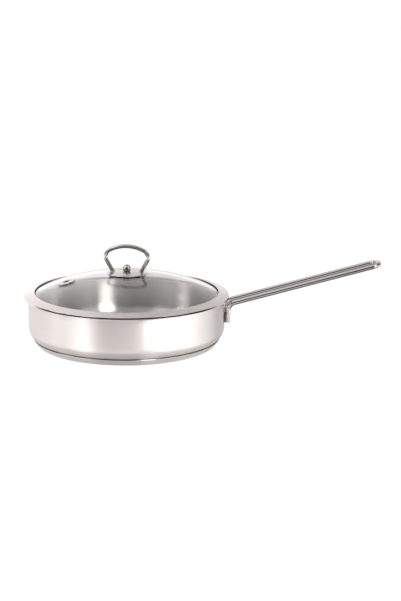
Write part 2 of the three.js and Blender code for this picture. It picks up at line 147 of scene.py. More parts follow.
# Above the floor: degrees of height and brightness, of the white sweep behind and of the room in front.
# Front gives way to sweep by how far a direction points back, and the dimmer by how far it points right.
SWEEP_LIGHT = (
    (0, 1.8), (5, 1.5), (12, 1.2), (27, 1.12), (36, 1.05), (44, 1.0), (50, 0.82), (56, 0.75), (66, 1.05),
    (90, 0.7))
FRONT_LIGHT = ((0, 0.04), (19, 0.04), (36, 0.3), (46, 0.55), (60, 0.95), (90, 1.0))
SWEEP_STARTS, SWEEP_FULL = 0.1, 0.8
DIMMER_STARTS, DIMMER_FULL = -0.2, 0.05
RIGHT_DIMMER = 0.7
sweep = brightness_ramp(room_rise, [(sine(height), bright) for height, bright in SWEEP_LIGHT])
front = brightness_ramp(room_rise, [(sine(height), bright) for height, bright in FRONT_LIGHT])
behind = eased(room, room_axes.outputs["Y"], SWEEP_STARTS, SWEEP_FULL)
round_about = add_node(room, "ShaderNodeMix", {}, {"Factor": behind, "A": front, "B": sweep})
dimmed = eased(room, room_axes.outputs["X"], DIMMER_STARTS, DIMMER_FULL, 1.0, RIGHT_DIMMER)
lit_room = add_node(room, "ShaderNodeMath", {"operation": "MULTIPLY"}, {
    0: round_about.outputs["Result"], 1: dimmed})

# The black screen round the camera: brightness, and in degrees its bearing, half width, top and soft edge
SCREEN_BLACK = 0.02
SCREEN_BEARING = -11
SCREEN_HALF = 22
SCREEN_TOP = 33
SOFT_EDGE = 6
level_way = add_node(room, "ShaderNodeVectorMath", {"operation": "MULTIPLY", 1: (1, 1, 0)}, {0: room_way})
bearing_way = add_node(room, "ShaderNodeVectorMath", {"operation": "NORMALIZE"}, {
    0: level_way.outputs["Vector"]})
screen_middle = (sine(SCREEN_BEARING), -sine(90 - SCREEN_BEARING), 0)
toward_screen = add_node(room, "ShaderNodeVectorMath", {"operation": "DOT_PRODUCT", 1: screen_middle},
                         {0: bearing_way.outputs["Vector"]})
beside_screen = eased(room, toward_screen.outputs["Value"],
                      sine(90 - SCREEN_HALF - SOFT_EDGE), sine(90 - SCREEN_HALF + SOFT_EDGE))
below_screen_top = eased(room, room_rise, sine(SCREEN_TOP + SOFT_EDGE), sine(SCREEN_TOP - SOFT_EDGE))
on_screen = add_node(room, "ShaderNodeMath", {"operation": "MULTIPLY"}, {
    0: beside_screen, 1: below_screen_top})
above = add_node(room, "ShaderNodeMix", {"B": SCREEN_BLACK}, {
    "Factor": on_screen.outputs[0], "A": lit_room.outputs[0]})

# The lit floor as the steel mirrors it: degrees to the right of the camera and brightness.
# Steeper down lies the floor at the pan's foot, which is lit alike from all sides.
FLOOR_LIGHT = (
    (-180, 0.9), (-131, 1.15), (-110, 1.5), (-87, 1.85), (-83, 1.4), (-75, 1.4), (-71, 2.1), (-65, 2.2),
    (-49, 3.8), (-38, 2.2), (-30, 1.55), (0, 1.65), (10, 1.75), (19, 0.7), (24, 0.2), (31, 0.2), (38, 2.2),
    (46, 3.4), (80, 2.9), (97, 2.0), (112, 1.5), (131, 0.7), (179, 0.9))
FOOT_LIGHT, FOOT_SHADE = 1.0, 0.8
FOOT_STARTS, FOOT_FULL = -0.33, -0.65
STRAIGHT_DOWN = -1.0
HORIZON_SOFT = 0.02
toward_front = add_node(room, "ShaderNodeMath", {"operation": "MULTIPLY", 1: -1.0}, {
    0: room_axes.outputs["Y"]})
turn = add_node(room, "ShaderNodeMath", {"operation": "ARCTAN2"}, {
    0: room_axes.outputs["X"], 1: toward_front.outputs[0]})
turn_share = ranged(room, turn.outputs[0], -math.pi, math.pi)
floor_stops = [((bearing + 180) / 360, bright) for bearing, bright in FLOOR_LIGHT]
floor_light = brightness_ramp(turn_share, floor_stops)
foot_light = ranged(room, room_rise, FOOT_FULL, STRAIGHT_DOWN, FOOT_LIGHT, FOOT_SHADE)
at_foot = eased(room, room_rise, FOOT_STARTS, FOOT_FULL)
below = add_node(room, "ShaderNodeMix", {}, {"Factor": at_foot, "A": floor_light, "B": foot_light})
horizon = ranged(room, room_rise, -HORIZON_SOFT, HORIZON_SOFT)
room_seen = add_node(room, "ShaderNodeMix", {}, {
    "Factor": horizon, "A": below.outputs["Result"], "B": above.outputs["Result"]})
room_rays = add_node(room, "ShaderNodeLightPath", {}, {})
mirrored = add_node(room, "ShaderNodeMath", {"operation": "MAXIMUM"}, {
    0: room_rays.outputs["Is Glossy Ray"], 1: room_rays.outputs["Is Transmission Ray"]})
room_lit = add_node(room, "ShaderNodeMix", {"A": ROOM_LIGHT}, {
    "Factor": mirrored.outputs[0], "B": room_seen.outputs["Result"]})
room_strength = add_node(room, "ShaderNodeMix", {"B": 1.0}, {
    "Factor": room_rays.outputs["Is Camera Ray"], "A": room_lit.outputs["Result"]})
room.links.new(room_strength.outputs["Result"], room.nodes["Background"].inputs["Strength"])
room_colour = add_node(room, "ShaderNodeMix", {
    "data_type": "RGBA", "A": (1, 1, 1, 1), "B": linear(ROOM_TINT)}, {"Factor": mirrored.outputs[0]})
room.links.new(room_colour.outputs["Result"], room.nodes["Background"].inputs["Color"])

# The floor that the camera sees: white paint, shown mostly as an even glow, with a faint shadow left
FLOOR_WHITE = "#F2F2F2"
FLOOR_ROUGHNESS = 0.9
FLOOR_GLOW = 1.05
FLOOR_GLOW_SHARE = 0.9
FLOOR_HALF = 4.0


def level_sheet(name, far_edge, material):
    """A level sheet as wide as the studio, from its front to a far edge."""
    mesh = bpy.data.meshes.new(name)
    mesh.from_pydata(
        [(-FLOOR_HALF, -FLOOR_HALF, 0), (FLOOR_HALF, -FLOOR_HALF, 0), (FLOOR_HALF, far_edge, 0),
         (-FLOOR_HALF, far_edge, 0)], [], [(0, 1, 2, 3)])
    mesh.materials.append(material)
    sheet = bpy.data.objects.new(name, mesh)
    scene.collection.objects.link(sheet)
    return sheet


floor_paint, paint, matt = new_material(
    "white_floor_paint", Base_Color=linear(FLOOR_WHITE), Roughness=FLOOR_ROUGHNESS)
floor_glow = add_node(paint, "ShaderNodeEmission", {"Strength": FLOOR_GLOW}, {})
floor_rays = add_node(paint, "ShaderNodeLightPath", {}, {})
floor_shown = add_node(paint, "ShaderNodeMath", {"operation": "MAXIMUM"}, {
    0: floor_rays.outputs["Is Camera Ray"], 1: floor_rays.outputs["Is Transmission Ray"]})
glow_share = add_node(paint, "ShaderNodeMath", {"operation": "MULTIPLY", 1: FLOOR_GLOW_SHARE}, {
    0: floor_shown.outputs[0]})
floor_blend = add_node(paint, "ShaderNodeMixShader", {}, {
    0: glow_share.outputs[0], 1: matt.outputs[0], 2: floor_glow.outputs[0]})
paint.links.new(floor_blend.outputs[0], paint.nodes["Material Output"].inputs["Surface"])
floor = level_sheet("studio_floor", FLOOR_HALF, floor_paint)
floor.visible_glossy = False

# In front of the table the room is dark, which only mirrors see
TABLE_EDGE = -0.5
ROOM_DARK = 0.05
dark_paint, dark, _ = new_material("dark_room_paint")
dim = add_node(dark, "ShaderNodeEmission", {"Strength": ROOM_DARK}, {})
dark.links.new(dim.outputs[0], dark.nodes["Material Output"].inputs["Surface"])
dark_floor = level_sheet("dark_room_floor", TABLE_EDGE, dark_paint)
dark_floor.visible_camera = False
dark_floor.visible_diffuse = False
dark_floor.visible_transmission = False
dark_floor.visible_shadow = False

# Each softbox: degrees to the right of the camera, distance, foot, top, width in metres, brightness as seen.
# Flags keep two strips off the band and the polished steel; the low cards light the polished steel alone.
SOFTBOXES = {
    "front_strip": (28.5, 1.6, 0.35, 2.2, 0.48, 14.0),
    "left_strip": (-87, 1.6, 0.6, 2.0, 0.3, 4.0),
    "left_slit": (-79, 1.4, 0.5, 1.8, 0.2, 9.0),
    "left_softbox": (-57, 1.5, 1.0, 2.4, 0.9, 2.0),
    "right_softbox": (60, 1.5, 1.0, 2.4, 0.9, 1.8),
    "left_low_card": (-62, 1.3, 0.0, 0.9, 0.45, 1.3),
    "right_low_card": (58, 1.3, 0.0, 0.9, 0.45, 1.3),
}
satin_pieces = bpy.data.collections.new("satin_pieces")
polished_pieces = bpy.data.collections.new("polished_pieces")
satin_pieces.objects.link(floor)
LIGHTS_ONLY = {
    "front_strip": satin_pieces, "left_slit": satin_pieces,
    "left_low_card": polished_pieces, "right_low_card": polished_pieces,
}
for light_name, (bearing, distance, low, top, width, seen_light) in SOFTBOXES.items():
    lamp = bpy.data.lights.new(light_name, "AREA")
    lamp.shape = "RECTANGLE"
    lamp.size = width
    lamp.size_y = top - low
    lamp.energy = seen_light * math.pi * width * (top - low)
    softbox = bpy.data.objects.new(light_name, lamp)
    softbox.location = (distance * sine(bearing), -distance * sine(90 - bearing), (low + top) / 2)
    softbox.rotation_euler = (math.radians(90), 0, math.radians(bearing))
    softbox.visible_camera = False
    if light_name in LIGHTS_ONLY:
        softbox.light_linking.receiver_collection = LIGHTS_ONLY[light_name]
    scene.collection.objects.link(softbox)


# Pan body: one disc of 1 mm stainless steel, deep drawn to a flat floor, a round corner and a straight wall.
# The rim is flared for pouring. The sheet is polished on a spindle, so its fine lines run round the axis.
# All profiles are in mm, as distance from the axis and height.
PAN_SIDES = 256
PAN_OUTER, PAN_INNER = 121, 120
PAN_UNDER, PAN_FLOOR = 5, 6
CORNER_OUTER, CORNER_INNER = 17, 16
FLARE_OUTER, FLARE_INNER = 59.64, 60.34
FLARE_OUTER_BEND, FLARE_INNER_BEND = 2.5, 3.5
RIM_LOWER, RIM_UPPER = (122.97, 60.36), (122.63, 61.3)
RIM_EDGE = 0.3
BEND_STEP = math.radians(9)
SHARP_EDGE = math.radians(40)
LONG_SIDE = 3
ON_AXIS = 1e-6


def rounded(corners, closed=True):
    """Points of a profile through (r, z) corners, those given as (r, z, bend) turned on that radius."""
    points = []
    for i, corner in enumerate(corners):
        here = Vector(corner[:2])
        if len(corner) == 2:
            points.append(here)
            continue
        before = (here - Vector(corners[i - 1][:2])).normalized()
        after = (Vector(corners[(i + 1) % len(corners)][:2]) - here).normalized()
        bend = corner[2]
        turning = math.atan2(before.cross(after), before.dot(after))
        start = here - before * (bend * math.tan(abs(turning) / 2))
        side = math.copysign(1, turning)
        centre = start + Vector((-before.y, before.x)) * (side * bend)
        steps = max(2, math.ceil(abs(turning) / BEND_STEP))
        for step in range(steps + 1):
            points.append(centre + Matrix.Rotation(turning * step / steps, 2) @ (start - centre))
    return supported(points, closed)


def supported(points, closed):
    """The same profile, with a point close to each end of a long side, so that its shading stays flat."""
    result = []
    count = len(points)
    sides = count if closed else count - 1
    lengths = [(points[(i + 1) % count] - points[i]).length for i in range(sides)]
    for i in range(sides):
        here, there = points[i], points[(i + 1) % count]
        result.append(here)
        nearby = lengths[i - 1] if closed or i else lengths[i]
        beyond = lengths[(i + 1) % sides] if closed or i + 1 < sides else lengths[i]
        for reach, at_end in ((nearby, False), (beyond, True)):
            if reach * LONG_SIDE < lengths[i]:
                share_of_side = reach / lengths[i]
                result.append(here.lerp(there, 1 - share_of_side if at_end else share_of_side))
    if not closed:
        result.append(points[-1])
    return result


def make_piece(name, points, faces):
    """A shaded object in the scene from points in mm."""
    mesh = bpy.data.meshes.new(name)
    mesh.from_pydata([tuple(p * MM for p in point) for point in points], [], faces)
    mesh.validate()
    mesh.shade_smooth()
    mesh.set_sharp_from_angle(angle=SHARP_EDGE)
    piece = bpy.data.objects.new(name, mesh)
    scene.collection.objects.link(piece)
    return piece


def on_circle(r, z, j, sides):
    """Point j of a ring of so many sides about the upright axis."""
    angle = 2 * math.pi * j / sides
    return (r * math.cos(angle), r * math.sin(angle), z)


def turned(name, profile, sides=PAN_SIDES, closed=True):
    """A piece turned about the upright axis from a profile that runs round it with the metal on its left."""
    return lofted(name, [[(r, z)] if r < ON_AXIS else [(r, z)] * sides for r, z in profile], sides, closed)


def lofted(name, rings, sides, closed):
    """The same from rings of (r, z) for each side, of which a ring of one point lies on the axis."""
    points, rows = [], []
    for ring in rings:
        if len(ring) == 1:
            rows.append([len(points)] * sides)
            points.append((0, 0, ring[0][1]))
            continue
        rows.append(range(len(points), len(points) + sides))
        points += [on_circle(r, z, j, sides) for j, (r, z) in enumerate(ring)]
    faces = []
    for k in range(len(rows) if closed else len(rows) - 1):
        low, high = rows[k], rows[(k + 1) % len(rows)]
        for j in range(sides):
            nxt = (j + 1) % sides
            faces.append(list(dict.fromkeys([low[j], low[nxt], high[nxt], high[j]])))
    return make_piece(name, points, faces)


def dress(piece, material, body, slot, *nodes):
    """Gives a piece its material and says which body it rides on and which solids it stands for."""
    piece.data.materials.append(material)
    if slot == "polished_steel":
        polished_pieces.objects.link(piece)
    elif slot != "band_steel":
        satin_pieces.objects.link(piece)
    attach(piece, body)
    if nodes:
        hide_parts(*nodes)


def ring_lines(tree, spacing_mm, length_mm, radius_mm):
    """Noise drawn out round the axis, as polishing on a spindle leaves it, across walls and floors alike."""
    place = add_node(tree, "ShaderNodeTexCoord", {}, {}).outputs["Object"]
    flat = add_node(tree, "ShaderNodeVectorMath", {"operation": "MULTIPLY", 1: (1, 1, 0)}, {0: place})
    radius = add_node(tree, "ShaderNodeVectorMath", {"operation": "LENGTH"}, {0: flat.outputs["Vector"]})
    spoke = add_node(tree, "ShaderNodeVectorMath", {"operation": "NORMALIZE"}, {0: flat.outputs["Vector"]})
    height = add_node(tree, "ShaderNodeSeparateXYZ", {}, {0: place}).outputs["Z"]
    along = add_node(tree, "ShaderNodeMath", {"operation": "ADD"}, {0: radius.outputs["Value"], 1: height})
    lines = add_node(tree, "ShaderNodeMath", {"operation": "MULTIPLY", 1: 1 / (spacing_mm * MM)}, {
        0: along.outputs[0]})
    stretched = add_node(tree, "ShaderNodeVectorMath", {"operation": "SCALE", "Scale": radius_mm / length_mm},
                         {0: spoke.outputs["Vector"]})
    upright = add_node(tree, "ShaderNodeCombineXYZ", {}, {"Z": lines.outputs[0]})
    spread = add_node(tree, "ShaderNodeVectorMath", {"operation": "ADD"}, {
        0: stretched.outputs["Vector"], 1: upright.outputs["Vector"]})
    noise = add_node(tree, "ShaderNodeTexNoise", {"Scale": 1.0, "Detail": 3.0}, {
        "Vector": spread.outputs["Vector"]})
    return noise.outputs["Fac"], radius.outputs["Value"]


# Noise mostly lies between these two values
NOISE_LOW, NOISE_HIGH = 0.3, 0.7


def span(tree, source, low, high):
    """A noise value spread between two limits."""
    return ranged(tree, source, NOISE_LOW, NOISE_HIGH, low, high)


def tinted(tree, source, light, dull):
    """A colour that a noise value takes from one sRGB hex value to another."""
    return add_node(tree, "ShaderNodeMix", {"data_type": "RGBA", "A": linear(light), "B": linear(dull)},
                    {"Factor": source}).outputs["Result"]


def shaded(tree, colour, share):
    """A colour darkened to a share."""
    return add_node(tree, "ShaderNodeVectorMath", {"operation": "SCALE"}, {
        0: colour, "Scale": share}).outputs["Vector"]


def feed(tree, shader, **sources):
    """Links varying values to the sockets of a shader."""
    for key, source in sources.items():
        tree.links.new(source, shader.inputs[key.replace("_", " ")])


def round_grain(tree):
    """The direction of lines that run round the axis."""
    return add_node(tree, "ShaderNodeTangent", {"direction_type": "RADIAL", "axis": "Z"}, {}).outputs[0]


# Stainless steel, satin polished on a spindle: light draws out across the lines, upright on the wall.
# The real lines are about 0.1 mm apart and are drawn 0.6 mm apart to show.
# Fitted to the photo: painted shade darkens all within the wall's inner face, the base too; the outside is
# rougher.
STEEL_LIGHT, STEEL_DULL = "#D8D3D1", "#D2CDCB"
SATIN_SPACING, SATIN_LENGTH = 0.6, 60
SATIN_SMOOTH, SATIN_ROUGH = 0.28, 0.33
SATIN_RELIEF, SATIN_DEPTH = 0.05, 0.0002
INSIDE_UNTIL, OUTSIDE_FROM = 120.2, 120.6
# Share of the steel's colour left within the wall by the painted shade
INSIDE_PAINTED_SHADE = 0.82
OUTSIDE_ROUGHER = 0.06
INSIDE_GRAIN, OUTSIDE_GRAIN = 1.0, 0.85
satin_steel, satin, satin_shader = new_material(
    "satin_stainless_steel", Metallic=1.0, Anisotropic_Rotation=0.25)
satin_lines, satin_radius = ring_lines(satin, SATIN_SPACING, SATIN_LENGTH, PAN_OUTER)
outside = ranged(satin, satin_radius, INSIDE_UNTIL * MM, OUTSIDE_FROM * MM)
satin_rough = add_node(satin, "ShaderNodeMath", {"operation": "MULTIPLY_ADD", 1: OUTSIDE_ROUGHER}, {
    0: outside, 2: span(satin, satin_lines, SATIN_SMOOTH, SATIN_ROUGH)})
satin_bump = add_node(satin, "ShaderNodeBump", {"Strength": SATIN_RELIEF, "Distance": SATIN_DEPTH}, {
    "Height": satin_lines})
feed(satin, satin_shader,
     Base_Color=shaded(satin, tinted(satin, satin_lines, STEEL_LIGHT, STEEL_DULL),
                       ranged(satin, outside, 0, 1, INSIDE_PAINTED_SHADE, 1.0)),
     Roughness=satin_rough.outputs[0],
     Anisotropic=ranged(satin, outside, 0, 1, INSIDE_GRAIN, OUTSIDE_GRAIN),
     Normal=satin_bump.outputs[0],
     Tangent=round_grain(satin))

drawn_pan = turned("drawn_pan", rounded([
    (0, PAN_UNDER), (PAN_OUTER, PAN_UNDER, CORNER_OUTER), (PAN_OUTER, FLARE_OUTER, FLARE_OUTER_BEND),
    (*RIM_LOWER, RIM_EDGE), (*RIM_UPPER, RIM_EDGE), (PAN_INNER, FLARE_INNER, FLARE_INNER_BEND),
    (PAN_INNER, PAN_FLOOR, CORNER_INNER), (0, PAN_FLOOR)], closed=False), closed=False)
dress(drawn_pan, satin_steel, "pan", "pan_steel", "pan_body")


# Base core: a plain disc of rolled aluminium under the pan, which spreads the heat.
# It is pressed between pan and cap and shows nowhere.
CORE_RADIUS, CORE_EDGE = 106.2, 0.4
CAP_SHEET = 0.6
ALUMINIUM_LIGHT, ALUMINIUM_DULL = "#BDBFC1", "#B3B5B7"
ALUMINIUM_SMOOTH, ALUMINIUM_ROUGH = 0.35, 0.5
# Rolling lines to a metre along each axis, coarser than real ones
ROLLED_LINES = (20, 800, 20)
rolled_aluminium, rolled, rolled_shader = new_material("rolled_aluminium", Metallic=1.0)
rolled_place = add_node(rolled, "ShaderNodeTexCoord", {}, {}).outputs["Object"]
rolled_along = add_node(rolled, "ShaderNodeMapping", {"Scale": ROLLED_LINES}, {"Vector": rolled_place})
rolled_noise = add_node(rolled, "ShaderNodeTexNoise", {"Scale": 1.0, "Detail": 2.0}, {
    "Vector": rolled_along.outputs[0]}).outputs["Fac"]
feed(rolled, rolled_shader,
     Base_Color=tinted(rolled, rolled_noise, ALUMINIUM_LIGHT, ALUMINIUM_DULL),
     Roughness=span(rolled, rolled_noise, ALUMINIUM_SMOOTH, ALUMINIUM_ROUGH))
aluminium_disc = turned("aluminium_disc", rounded([
    (0, CAP_SHEET), (CORE_RADIUS, CAP_SHEET, CORE_EDGE), (CORE_RADIUS, PAN_UNDER, CORE_EDGE), (0, PAN_UNDER)],
    closed=False), closed=False)
dress(aluminium_disc, rolled_aluminium, "pan", "core_aluminium", "base_core")


# Base cap: a shallow dish of 0.6 mm stainless steel pressed on under the core.
# Its lip lies against the pan's round corner and leaves the dark seam; its underside is turned in rings.
CAP_OUTER, CAP_INNER = 110.071, 109.756
CAP_OUTER_BEND, CAP_INNER_BEND = 6, 5.4
CAP_LIP_OUTER, CAP_LIP_INNER = (115.919, 8.114), (115.528, 8.569)
CAP_LIP_EDGE = 0.2
cap_dish = turned("cap_dish", rounded([
    (0, 0), (CAP_OUTER, 0, CAP_OUTER_BEND), (*CAP_LIP_OUTER, CAP_LIP_EDGE), (*CAP_LIP_INNER, CAP_LIP_EDGE),
    (CAP_INNER, CAP_SHEET, CAP_INNER_BEND), (0, CAP_SHEET)], closed=False), closed=False)
dress(cap_dish, satin_steel, "pan", "pan_steel", "base_cap")


# Handle rod: one 6 mm stainless steel rod bent to a hairpin, bright polished along its length.
# Both ends bend down at the knee and are welded to the wall.
# Foot, knee and end are (x, z) places of its centre line, which lies at the spread to either side.
ROD_SIDES = 40
ROD_RADIUS = 3
ROD_EDGE, ROD_EDGE_STEPS = 0.6, 5
ROD_FOOT, ROD_KNEE, ROD_END = (123.77, 27.59), (125.77, 50.5), (311.5, 99.92)
ROD_SPREAD = 11.5
KNEE_BEND = 10
ROD_BEND_STEP = math.radians(6)


def bent_path(corners):
    """Stations of (centre, direction) along straight runs that bend at each (point, radius) corner."""
    stations = []
    for i, (here, bend) in enumerate(corners):
        before = (here - corners[i - 1][0]).normalized() if i else None
        after = (corners[i + 1][0] - here).normalized() if i + 1 < len(corners) else None
        if before is None or after is None:
            stations.append((here.copy(), (before or after).copy()))
            continue
        turning = before.angle(after)
        axle = before.cross(after).normalized()
        start = here - before * (bend * math.tan(turning / 2))
        centre = start + axle.cross(before) * bend
        steps = max(4, math.ceil(turning / ROD_BEND_STEP))
        for step in range(steps + 1):
            swing = Quaternion(axle, turning * step / steps)
            stations.append((centre + swing @ (start - centre), swing @ before))
    return stations


def swept(name, stations, sides=ROD_SIDES):
    """A round piece along stations of (centre, direction, radius, cut), each ring lying square to its cut."""
    points, faces = [], []
    side = stations[0][1].orthogonal().normalized()
    last = stations[0][1]
    for centre, direction, radius, cut in stations:
        side = last.rotation_difference(direction) @ side
        last = direction
        across = direction.cross(side)
        for j in range(sides):
            angle = 2 * math.pi * j / sides
            spoke = (side * math.cos(angle) + across * math.sin(angle)) * radius
            points.append(centre + spoke - direction * (spoke.dot(cut) / direction.dot(cut)))
    for k in range(len(stations) - 1):
        for j in range(sides):
            nxt = (j + 1) % sides
            faces.append((k * sides + j, k * sides + nxt, (k + 1) * sides + nxt, (k + 1) * sides + j))
    faces.append(tuple(reversed(range(sides))))
    faces.append(tuple(range((len(stations) - 1) * sides, len(stations) * sides)))
    return make_piece(name, points, faces)


def blunt_end(centre, way):
    """Stations that round the rim of the rod's cut end, from the face along the way into the rod."""
    rings = []
    for step in range(ROD_EDGE_STEPS + 1):
        angle = math.pi / 2 * step / ROD_EDGE_STEPS
        depth = ROD_EDGE * (1 - math.cos(angle))
        rings.append((centre + way * depth, ROD_RADIUS - ROD_EDGE * (1 - math.sin(angle))))
    return rings


def piece_noise(tree, scale, detail):
    """Noise over a piece, with about so many spots to a metre."""
    place = add_node(tree, "ShaderNodeTexCoord", {}, {}).outputs["Object"]
    return add_node(tree, "ShaderNodeTexNoise", {"Scale": scale, "Detail": detail}, {
        "Vector": place}).outputs["Fac"]


# Stainless steel, bright polished: a mirror with faint wiped haze some millimetres across.
# Undersides are darkened with painted shade, fitted to the photo; the two limits are of how far a face looks
# up.
POLISH_LIGHT, POLISH_DULL = "#C9C6C4", "#C0BDBB"
POLISH_SMOOTH, POLISH_ROUGH = 0.08, 0.14
HAZE_SPOTS = 180.0
# Share of the steel's colour left on undersides by the painted shade
UNDER_PAINTED_SHADE = 0.35
SHADE_BELOW, SHADE_ENDS_ABOVE = -0.3, 0.2
bright_steel, bright, bright_shader = new_material("bright_polished_stainless_steel", Metallic=1.0)
bright_haze = piece_noise(bright, HAZE_SPOTS, 3.0)
bright_face = add_node(bright, "ShaderNodeNewGeometry", {}, {}).outputs["Normal"]
bright_up = add_node(bright, "ShaderNodeSeparateXYZ", {}, {0: bright_face}).outputs["Z"]
feed(bright, bright_shader,
     Base_Color=shaded(bright, tinted(bright, bright_haze, POLISH_LIGHT, POLISH_DULL),
                       eased(bright, bright_up, SHADE_BELOW, SHADE_ENDS_ABOVE, UNDER_PAINTED_SHADE)),
     Roughness=span(bright, bright_haze, POLISH_SMOOTH, POLISH_ROUGH))

rod_corners = [(ROD_FOOT, -1, 0), (ROD_KNEE, -1, KNEE_BEND), (ROD_END, -1, ROD_SPREAD),
               (ROD_END, 1, ROD_SPREAD), (ROD_KNEE, 1, KNEE_BEND), (ROD_FOOT, 1, 0)]
rod_path = bent_path([(Vector((x, side * ROD_SPREAD, z)), bend) for (x, z), side, bend in rod_corners])
near_foot_at, near_foot_way = rod_path[0]
far_foot_at, far_foot_way = rod_path[-1]
rod_rings = [(centre, near_foot_way, radius, near_foot_way)
             for centre, radius in blunt_end(near_foot_at, near_foot_way)]
rod_rings += [(centre, way, ROD_RADIUS, way) for centre, way in rod_path[1:-1]]
rod_rings += [(centre, far_foot_way, radius, far_foot_way)
              for centre, radius in reversed(blunt_end(far_foot_at, -far_foot_way))]
bent_rod = swept("bent_handle_rod", rod_rings)
dress(bent_rod, bright_steel, "pan", "polished_steel", "handle_rod")


# Handle welds: a bead down both sides of each foot of the rod, in the crevice between rod and wall.
# Stainless filler, left as it was laid: rippled, dull and tinted brown by the heat.
WELD_LENGTH = 13
WELD_SIDE = 2.2
WELD_BASE, WELD_HEAD = 0.85, 1.2
WELD_TIP, WELD_BLUNTNESS = 0.12, 6
WELD_RIPPLE, WELD_RIPPLE_HEIGHT = 1.3, 0.07
WELD_STEPS, WELD_SIDES = 60, 16
WELD_DARK, WELD_LIGHT = "#4E4743", "#75695F"
WELD_SMOOTH, WELD_ROUGH = 0.3, 0.45
WELD_SPOTS = 400.0
weld_steel, weld, weld_shader = new_material("heat_tinted_weld_steel", Metallic=1.0)
weld_noise = piece_noise(weld, WELD_SPOTS, 3.0)
feed(weld, weld_shader,
     Base_Color=tinted(weld, weld_noise, WELD_DARK, WELD_LIGHT),
     Roughness=span(weld, weld_noise, WELD_SMOOTH, WELD_ROUGH))


def weld_bead(name, foot, way, side):
    """A rippled bead up a rod from its foot, on one side of it, halfway between the rod and the wall."""
    rings = []
    for step in range(WELD_STEPS + 1):
        share_of_length = step / WELD_STEPS
        axis = foot + way * (WELD_LENGTH * share_of_length)
        across = axis.y + side * WELD_SIDE
        wall = math.sqrt(PAN_OUTER ** 2 - across ** 2)
        rod_face = axis.x - math.sqrt(ROD_RADIUS ** 2 - WELD_SIDE ** 2)
        ends = math.sqrt(max(0.0, 1 - (2 * share_of_length - 1) ** WELD_BLUNTNESS))
        ripple = 1 + WELD_RIPPLE_HEIGHT * math.sin(2 * math.pi * WELD_LENGTH * share_of_length / WELD_RIPPLE)
        radius = (WELD_BASE + (WELD_HEAD - WELD_BASE) * share_of_length) * max(WELD_TIP, ends) * ripple
        rings.append((Vector(((wall + rod_face) / 2, across, axis.z)), way, radius, way))
    return swept(name, rings, WELD_SIDES)


rod_feet = (("near", near_foot_at, near_foot_way), ("far", far_foot_at, -far_foot_way))
for foot_name, foot_at, foot_way in rod_feet:
    outward = math.copysign(1, foot_at.y)
    for side_name, side in (("outer", outward), ("inner", -outward)):
        bead = weld_bead(f"{foot_name}_{side_name}_weld", foot_at, foot_way, side)
        dress(bead, weld_steel, "pan", "polished_steel")


# Lid seal: a dark silicone channel moulded round the edge of the glass.
# Its upper leg stands a little inside the band and shows as a dark line.
# Its back stands behind the glass's edge, its upper leg slopes with the band, and its lower leg lies level.
SILICONE_DARK, SILICONE_LIGHT = "#2A2928", "#353331"
SILICONE_SMOOTH, SILICONE_ROUGH = 0.5, 0.65
SILICONE_RELIEF, SILICONE_DEPTH = 0.2, 0.0002
SILICONE_SPOTS = 900.0
silicone, rubber, rubber_shader = new_material("dark_silicone", IOR=1.41)
rubber_noise = piece_noise(rubber, SILICONE_SPOTS, 3.0)
rubber_bump = add_node(rubber, "ShaderNodeBump", {"Strength": SILICONE_RELIEF, "Distance": SILICONE_DEPTH}, {
    "Height": rubber_noise})
feed(rubber, rubber_shader,
     Base_Color=tinted(rubber, rubber_noise, SILICONE_DARK, SILICONE_LIGHT),
     Roughness=span(rubber, rubber_noise, SILICONE_SMOOTH, SILICONE_ROUGH),
     Normal=rubber_bump.outputs[0])

SEAL_BACK, SEAL_CHANNEL = 117.65, 116.65
SEAL_FOOT, SEAL_SHELF = 57.493, 58.293
SEAL_LOWER_END = 113.2
SEAL_SHOULDER = 62.785
SEAL_TIP, SEAL_TIP_TOP, SEAL_TIP_UNDER = 112.9, 64.058, 63.553
SEAL_ROOF, SEAL_ROOF_END = 62.593, 115
SEAL_HEEL, SEAL_BEND, SEAL_TIP_EDGE, SEAL_LEG_EDGE = 0.3, 0.15, 0.1, 0.2
channel_seal = turned("channel_seal", rounded([
    (SEAL_BACK, SEAL_FOOT, SEAL_HEEL), (SEAL_BACK, SEAL_SHOULDER, SEAL_BEND),
    (SEAL_TIP, SEAL_TIP_TOP, SEAL_TIP_EDGE), (SEAL_TIP, SEAL_TIP_UNDER, SEAL_TIP_EDGE),
    (SEAL_ROOF_END, SEAL_ROOF), (SEAL_CHANNEL, SEAL_ROOF, SEAL_BEND), (SEAL_CHANNEL, SEAL_SHELF, SEAL_LEG_EDGE),
    (SEAL_LOWER_END, SEAL_SHELF, SEAL_LEG_EDGE), (SEAL_LOWER_END, SEAL_FOOT, SEAL_LEG_EDGE)]))
dress(channel_seal, silicone, "lid", "seal_silicone", "lid_seal")


# Lid glass: a 4 mm dome of clear tempered glass, sagged over a mould and ground round at its edge.
# It has one hole in its middle for the knob and a small one for the steam vent.
GLASS_CLEAR = "#FDFDFC"
GLASS_WAVES = 25.0
GLASS_RELIEF, GLASS_DEPTH = 0.02, 0.001
tempered_glass, glass, glass_shader = new_material(
    "clear_tempered_glass", IOR=1.5, Transmission_Weight=1.0, Base_Color=linear(GLASS_CLEAR), Roughness=0.0)
glass_bump = add_node(glass, "ShaderNodeBump", {"Strength": GLASS_RELIEF, "Distance": GLASS_DEPTH}, {
    "Height": piece_noise(glass, GLASS_WAVES, 1.0)})
feed(glass, glass_shader, Normal=glass_bump.outputs[0])

DOME_RADIUS = 274.408
DOME_CENTRE = -186.704
DOME_STEPS = 60
DOME_FOOT = 115
GLASS_THICK = 4
GLASS_RADIUS = 116.5
GLASS_TOP, GLASS_BOTTOM = 62.443, 58.443
GLASS_EDGE, GLASS_EDGE_STARTS = 1.2, 115.2
GLASS_HOLE, GLASS_HOLE_CHAMFER = 4.5, 0.4
GLASS_HOLE_TOP, GLASS_HOLE_FOOT = 87.3, 84.1
dome_inner = DOME_RADIUS - GLASS_THICK


